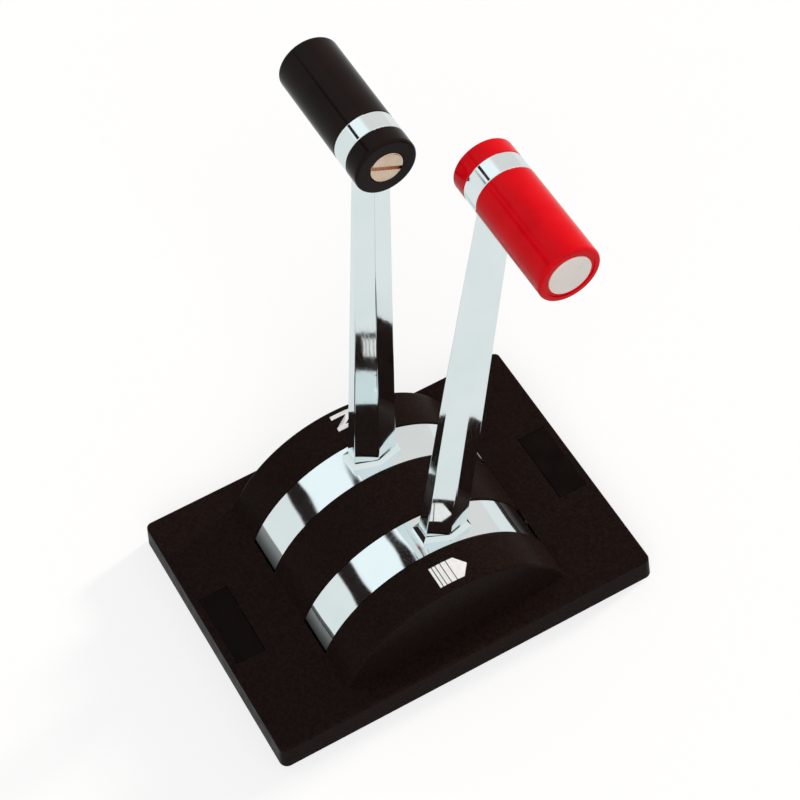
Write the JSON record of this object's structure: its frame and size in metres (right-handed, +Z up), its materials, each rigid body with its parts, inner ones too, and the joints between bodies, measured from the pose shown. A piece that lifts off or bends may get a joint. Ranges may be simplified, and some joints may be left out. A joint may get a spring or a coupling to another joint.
{
  "type": "boat throttle control lever",
  "caption": "Top-mount boat engine control with a black-knobbed shift lever and a red-knobbed throttle lever on a hooded plate, with its under-deck frame.",
  "frame": {"origin": "on the deck, at the middle of the four deck screws, on the gasket's underside", "axes": "+X forward, the way the levers go for ahead and more throttle; +Y from the red throttle lever to the black shift lever; +Z up out of the deck"},
  "size_m": [0.202, 0.1506, 0.398],
  "materials": {
    "cover_plastic": "fine-grain textured",
    "gasket_rubber": "matte",
    "label_black": "gloss",
    "screw_steel": "zinc plated",
    "frame_steel": "zinc plated",
    "bright_steel": "ground",
    "anchor_plastic": "moulded",
    "lever_chrome": "polished chrome plate",
    "grip_black": "semi-gloss",
    "grip_red": "semi-gloss",
    "screw_copper": "turned, bare",
    "disc_ivory": "smooth",
    "bush_brass": "turned"
  },
  "bodies": {
    "housing": {"cable_anchor_blocks": "anchor_plastic", "centre_plate": "frame_steel", "clamp_bolts": "screw_steel", "clamp_nuts": "screw_steel", "clamp_saddles": "anchor_plastic", "cover": "cover_plastic", "deck_screws": "screw_steel", "detent_block": "frame_steel", "detent_block_screws": "screw_steel", "detent_spring": "bright_steel", "detent_spring_screws": "screw_steel", "frame_screws": "screw_steel", "frame_spacers": "frame_steel", "friction_nut": "screw_steel", "friction_pad": "anchor_plastic", "friction_screw": "screw_steel", "front_label_plate": "label_black", "gasket": "gasket_rubber", "pivot_shaft": "bright_steel", "port_side_plate": "frame_steel", "rear_label_plate": "label_black", "shaft_clips": "bright_steel", "starboard_side_plate": "frame_steel", "thrust_washers": "bright_steel", "tie_bolts": "screw_steel", "tie_nuts": "screw_steel"},
    "shift_lever_body": {"shift_arm_nuts": "screw_steel", "shift_arm_screws": "screw_steel", "shift_bushes": "bush_brass", "shift_cable_arm": "frame_steel", "shift_cable_pin": "bright_steel", "shift_cap": "grip_black", "shift_clamp_screw": "screw_copper", "shift_detent_plate": "frame_steel", "shift_grip": "grip_black", "shift_grip_disc": "disc_ivory", "shift_grip_insert": "bush_brass", "shift_lever": "lever_chrome"},
    "throttle_lever_body": {"throttle_arm_nuts": "screw_steel", "throttle_arm_screws": "screw_steel", "throttle_bushes": "bush_brass", "throttle_cable_arm": "frame_steel", "throttle_cable_pin": "bright_steel", "throttle_cap": "grip_red", "throttle_clamp_screw": "screw_copper", "throttle_grip": "grip_red", "throttle_grip_disc": "disc_ivory", "throttle_grip_insert": "bush_brass", "throttle_lever": "lever_chrome"}
  },
  "joints": [
    {"name": "shift_swing", "type": "hinge", "parent": "housing", "child": "shift_lever_body", "pos_m": [0.001, 0.026, -0.0105], "axis": [0, 1, 0], "range_deg": [-35, 35], "deforming": ["detent_spring"]},
    {"name": "throttle_swing", "type": "hinge", "parent": "housing", "child": "throttle_lever_body", "pos_m": [0.001, -0.026, -0.0105], "axis": [0, 1, 0], "range_deg": [-45.8, 24.2]}
  ]
}
